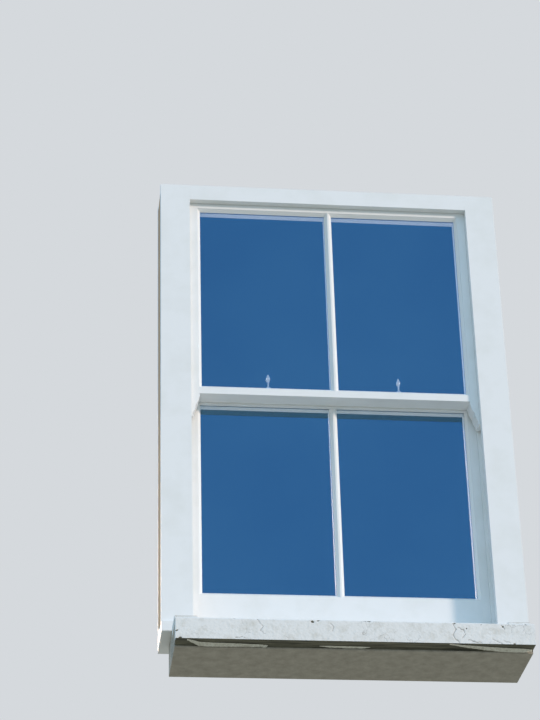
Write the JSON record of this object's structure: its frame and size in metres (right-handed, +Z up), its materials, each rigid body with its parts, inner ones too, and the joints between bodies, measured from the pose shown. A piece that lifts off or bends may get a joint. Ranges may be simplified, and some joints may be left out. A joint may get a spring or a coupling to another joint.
{
  "type": "sash window",
  "caption": "Vertically sliding timber sash window in a box frame, its glazed sashes hung on cords, pulleys and weights, on a painted stone sill.",
  "frame": {"origin": "on the stone sill's bed, midway between the sides, in the plane of the outside linings' face", "axes": "+X right as seen from outside, +Y into the room, +Z up"},
  "size_m": [1.032, 0.318, 1.575],
  "materials": {
    "white_paint_on_timber": "white satin paint, brushed on softwood",
    "bare_softwood": "bare sawn softwood",
    "painted_putty": "linseed putty under white satin paint",
    "window_glass": "clear float glass that mirrors a blue sky",
    "old_paint_on_stone": "old white masonry paint, crazed and flaking",
    "brass": "dull brass",
    "satin_chrome": "satin chrome",
    "cast_iron": "rough cast iron",
    "sash_cord": "waxed braided cotton"
  },
  "bodies": {
    "frame": {"back_linings": "bare_softwood", "frame_screws": "brass", "head_board": "white_paint_on_timber", "inside_lining_head": "white_paint_on_timber", "inside_lining_left": "white_paint_on_timber", "inside_lining_right": "white_paint_on_timber", "outside_lining_head": "white_paint_on_timber", "outside_lining_left": "white_paint_on_timber", "outside_lining_right": "white_paint_on_timber", "parting_bead_head": "white_paint_on_timber", "parting_bead_left": "white_paint_on_timber", "parting_bead_right": "white_paint_on_timber", "parting_slips": "bare_softwood", "pocket_pieces": "white_paint_on_timber", "pulley_housings": "brass", "pulley_pins": "brass", "pulley_stile_left": "white_paint_on_timber", "pulley_stile_right": "white_paint_on_timber", "staff_bead_head": "white_paint_on_timber", "staff_bead_left": "white_paint_on_timber", "staff_bead_right": "white_paint_on_timber", "staff_bead_sill": "white_paint_on_timber", "stone_sill": "old_paint_on_stone", "timber_sill": "white_paint_on_timber"},
    "upper_sash": {"base_screws": "satin_chrome", "fastener_bases": "satin_chrome", "fastener_pins": "satin_chrome", "upper_cords": "sash_cord", "upper_glazing_bar": "white_paint_on_timber", "upper_meeting_rail": "white_paint_on_timber", "upper_pane_left": "window_glass", "upper_pane_right": "window_glass", "upper_putty": "painted_putty", "upper_stile_left": "white_paint_on_timber", "upper_stile_right": "white_paint_on_timber", "upper_top_rail": "white_paint_on_timber"},
    "lower_sash": {"fastener_keeps": "satin_chrome", "lower_bottom_rail": "white_paint_on_timber", "lower_cords": "sash_cord", "lower_glazing_bar": "white_paint_on_timber", "lower_meeting_rail": "white_paint_on_timber", "lower_pane_left": "window_glass", "lower_pane_right": "window_glass", "lower_putty": "painted_putty", "lower_sash_screws": "satin_chrome", "lower_stile_left": "white_paint_on_timber", "lower_stile_right": "white_paint_on_timber", "sash_lifts": "satin_chrome"},
    "acorn_nut_left": {"acorn_nut_left": "satin_chrome"},
    "acorn_nut_right": {"acorn_nut_right": "satin_chrome"},
    "fastener_arm_left": {"fastener_arm_left": "satin_chrome"},
    "fastener_arm_right": {"fastener_arm_right": "satin_chrome"},
    "lower_pulley_wheel_left": {"lower_pulley_wheel_left": "brass"},
    "lower_pulley_wheel_right": {"lower_pulley_wheel_right": "brass"},
    "lower_weight_left": {"lower_weight_left": "cast_iron"},
    "lower_weight_right": {"lower_weight_right": "cast_iron"},
    "upper_pulley_wheel_left": {"upper_pulley_wheel_left": "brass"},
    "upper_pulley_wheel_right": {"upper_pulley_wheel_right": "brass"},
    "upper_weight_left": {"upper_weight_left": "cast_iron"},
    "upper_weight_right": {"upper_weight_right": "cast_iron"}
  },
  "joints": [
    {"name": "upper_sash_slide", "type": "slide", "parent": "frame", "child": "upper_sash", "axis": [0, 0, -1], "range_m": [0, 0.58], "deforming": ["upper_cords"]},
    {"name": "lower_sash_slide", "type": "slide", "parent": "frame", "child": "lower_sash", "axis": [0, 0, 1], "range_m": [0, 0.58], "deforming": ["lower_cords"]},
    {"name": "upper_weight_left_run", "type": "slide", "parent": "frame", "child": "upper_weight_left", "axis": [0, 0, 1], "range_m": [0, 0.58]},
    {"name": "upper_pulley_wheel_left_spin", "type": "hinge", "parent": "frame", "child": "upper_pulley_wheel_left", "pos_m": [-0.458, 0.0435, 1.428], "axis": [0, 1, 0], "range_deg": [0, 1330]},
    {"name": "upper_weight_right_run", "type": "slide", "parent": "frame", "child": "upper_weight_right", "axis": [0, 0, 1], "range_m": [0, 0.58]},
    {"name": "upper_pulley_wheel_right_spin", "type": "hinge", "parent": "frame", "child": "upper_pulley_wheel_right", "pos_m": [0.458, 0.0435, 1.428], "axis": [0, -1, 0], "range_deg": [0, 1330]},
    {"name": "lower_weight_left_run", "type": "slide", "parent": "frame", "child": "lower_weight_left", "axis": [0, 0, -1], "range_m": [0, 0.58]},
    {"name": "lower_pulley_wheel_left_spin", "type": "hinge", "parent": "frame", "child": "lower_pulley_wheel_left", "pos_m": [-0.458, 0.0985, 1.428], "axis": [0, -1, 0], "range_deg": [0, 1330]},
    {"name": "lower_weight_right_run", "type": "slide", "parent": "frame", "child": "lower_weight_right", "axis": [0, 0, -1], "range_m": [0, 0.58]},
    {"name": "lower_pulley_wheel_right_spin", "type": "hinge", "parent": "frame", "child": "lower_pulley_wheel_right", "pos_m": [0.458, 0.0985, 1.428], "axis": [0, 1, 0], "range_deg": [0, 1330]},
    {"name": "fastener_arm_left_swing", "type": "hinge", "parent": "upper_sash", "child": "fastener_arm_left", "pos_m": [-0.195, 0.052, 0.8985], "axis": [1, 0, 0], "range_deg": [-90, 15]},
    {"name": "acorn_nut_left_turn", "type": "hinge", "parent": "fastener_arm_left", "child": "acorn_nut_left", "pos_m": [-0.195, 0.052, 0.9335], "axis": [0, 0, 1], "continuous": true},
    {"name": "fastener_arm_right_swing", "type": "hinge", "parent": "upper_sash", "child": "fastener_arm_right", "pos_m": [0.195, 0.052, 0.8985], "axis": [1, 0, 0], "range_deg": [-90, 15]},
    {"name": "acorn_nut_right_turn", "type": "hinge", "parent": "fastener_arm_right", "child": "acorn_nut_right", "pos_m": [0.195, 0.052, 0.9335], "axis": [0, 0, 1], "continuous": true}
  ],
  "couplings": [
    {"joint": "upper_weight_left_run", "follows": "upper_sash_slide", "ratio": 1},
    {"joint": "upper_pulley_wheel_left_spin", "follows": "upper_sash_slide", "rad_per_m": 40},
    {"joint": "upper_weight_right_run", "follows": "upper_sash_slide", "ratio": 1},
    {"joint": "upper_pulley_wheel_right_spin", "follows": "upper_sash_slide", "rad_per_m": 40},
    {"joint": "lower_weight_left_run", "follows": "lower_sash_slide", "ratio": 1},
    {"joint": "lower_pulley_wheel_left_spin", "follows": "lower_sash_slide", "rad_per_m": 40},
    {"joint": "lower_weight_right_run", "follows": "lower_sash_slide", "ratio": 1},
    {"joint": "lower_pulley_wheel_right_spin", "follows": "lower_sash_slide", "rad_per_m": 40}
  ]
}
